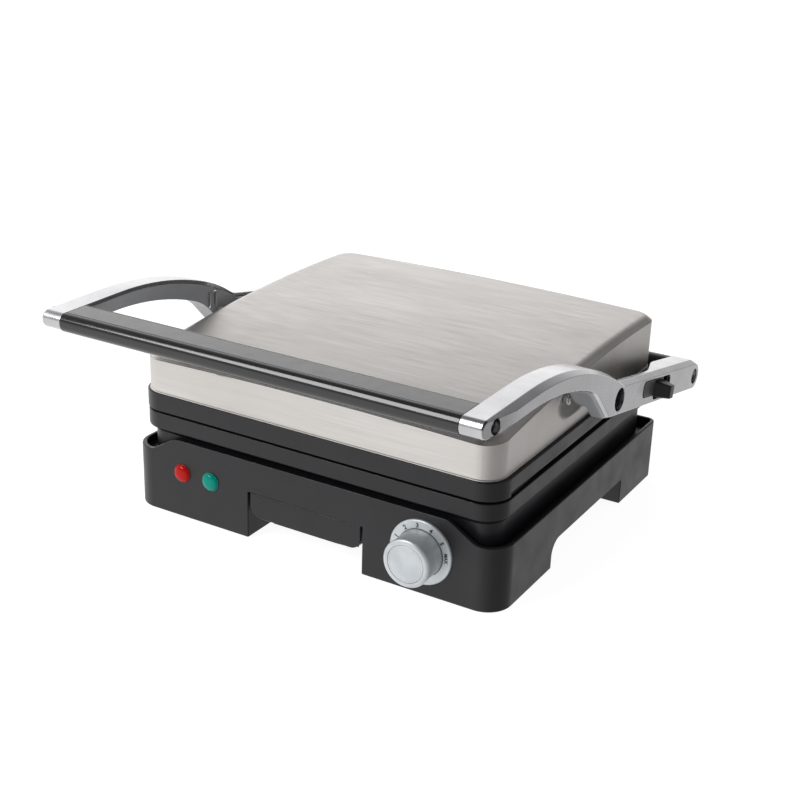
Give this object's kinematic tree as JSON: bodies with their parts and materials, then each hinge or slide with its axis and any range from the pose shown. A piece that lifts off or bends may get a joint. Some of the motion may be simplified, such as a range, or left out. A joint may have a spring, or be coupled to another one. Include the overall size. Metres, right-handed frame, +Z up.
{
  "type": "panini press",
  "caption": "Contact grill with a floating steel-covered head on two side arms, a bar handle, a heat dial with lamps, and a drip tray in the front of its four-legged base.",
  "frame": {"origin": "on the table, under the middle of the closed appliance's footprint", "axes": "+Z up, -Y the front with the handle and the dial, +X the dial's side"},
  "size_m": [0.3816, 0.398, 0.1806],
  "materials": {
    "charcoal_plastic": "fine moulded texture",
    "brushed_steel": "brushed, satin",
    "satin_silver": "satin painted casting",
    "dark_liner": "matte moulded",
    "gloss_black": "polished mould",
    "black_slide": "matte moulded",
    "knob_silver": "satin",
    "dial_silver": "satin",
    "red_lens": "clear tinted",
    "green_lens": "clear tinted",
    "plate_coating": "cast, dark non-stick coating",
    "element_sheath": "heat-stained sheath",
    "reflector_sheet": "bright sheet",
    "mineral_wool": "felted mat",
    "foot_rubber": "matte",
    "plated_steel": "zinc plated",
    "bush_nylon": "moulded",
    "control_plastic": "moulded"
  },
  "bodies": {
    "base": {"base_housing": "charcoal_plastic", "tray_channel": "charcoal_plastic", "bottom_cover": "charcoal_plastic", "bottom_screws": "plated_steel", "rubber_feet": "foot_rubber", "lower_plate_housing": "charcoal_plastic", "lower_grill_plate": "plate_coating", "lower_heating_element": "element_sheath", "lower_element_clamps": "plated_steel", "lower_reflector": "reflector_sheet", "drain_chute": "reflector_sheet", "thermostat": "control_plastic", "dial_ring": "dial_silver", "red_lamp_lens": "red_lens", "green_lamp_lens": "green_lens", "lamp_holders": "control_plastic", "terminal_block": "control_plastic", "cord_gland": "charcoal_plastic", "hinge_cover": "charcoal_plastic", "hinge_shaft": "plated_steel", "hinge_brackets": "plated_steel"},
    "drip_tray_body": {"drip_tray": "charcoal_plastic"},
    "knob": {"thermostat_knob": "knob_silver", "knob_cap": "knob_silver", "knob_spindle": "plated_steel"},
    "lid": {"pivot_bushes": "bush_nylon", "right_arm_casting": "satin_silver", "left_arm_casting": "satin_silver", "right_arm_liner": "dark_liner", "left_arm_liner": "dark_liner", "knuckle_screws": "plated_steel", "handle_grip": "gloss_black", "handle_insert": "gloss_black", "handle_core": "plated_steel", "handle_screws": "plated_steel", "hinge_bushes": "bush_nylon", "hinge_caps": "satin_silver"},
    "head": {"steel_cover": "brushed_steel", "upper_plate_housing": "charcoal_plastic", "upper_grill_plate": "plate_coating", "upper_heating_element": "element_sheath", "upper_element_clamps": "plated_steel", "upper_reflector": "reflector_sheet", "upper_insulation": "mineral_wool", "upper_plate_screws": "plated_steel", "pivot_brackets": "plated_steel", "pivot_pins": "plated_steel"},
    "lever": {"release_lever": "black_slide"}
  },
  "joints": [
    {"name": "lid_open", "type": "hinge", "parent": "base", "child": "lid", "pos_m": [-0.0048, 0.186, 0.089], "axis": [-1, 0, 0], "range_deg": [0, 178]},
    {"name": "head_tilt", "type": "hinge", "parent": "lid", "child": "head", "pos_m": [-0.0048, 0.001, 0.124], "axis": [1, 0, 0], "range_deg": [0, 9]},
    {"name": "tray_slide", "type": "slide", "parent": "base", "child": "drip_tray_body", "axis": [0, -1, 0], "range_m": [0, 0.16]},
    {"name": "knob_turn", "type": "hinge", "parent": "base", "child": "knob", "pos_m": [0.0967, -0.136, 0.0357], "axis": [0, 1, 0], "range_deg": [0, 270]},
    {"name": "release_slide", "type": "slide", "parent": "lid", "child": "lever", "axis": [0, 0.9796, -0.2011], "range_m": [0, 0.008], "stiffness_N_per_m": 150}
  ],
  "couplings": [
    {"joint": "head_tilt", "follows": "lid_open", "ratio": 0.05}
  ]
}
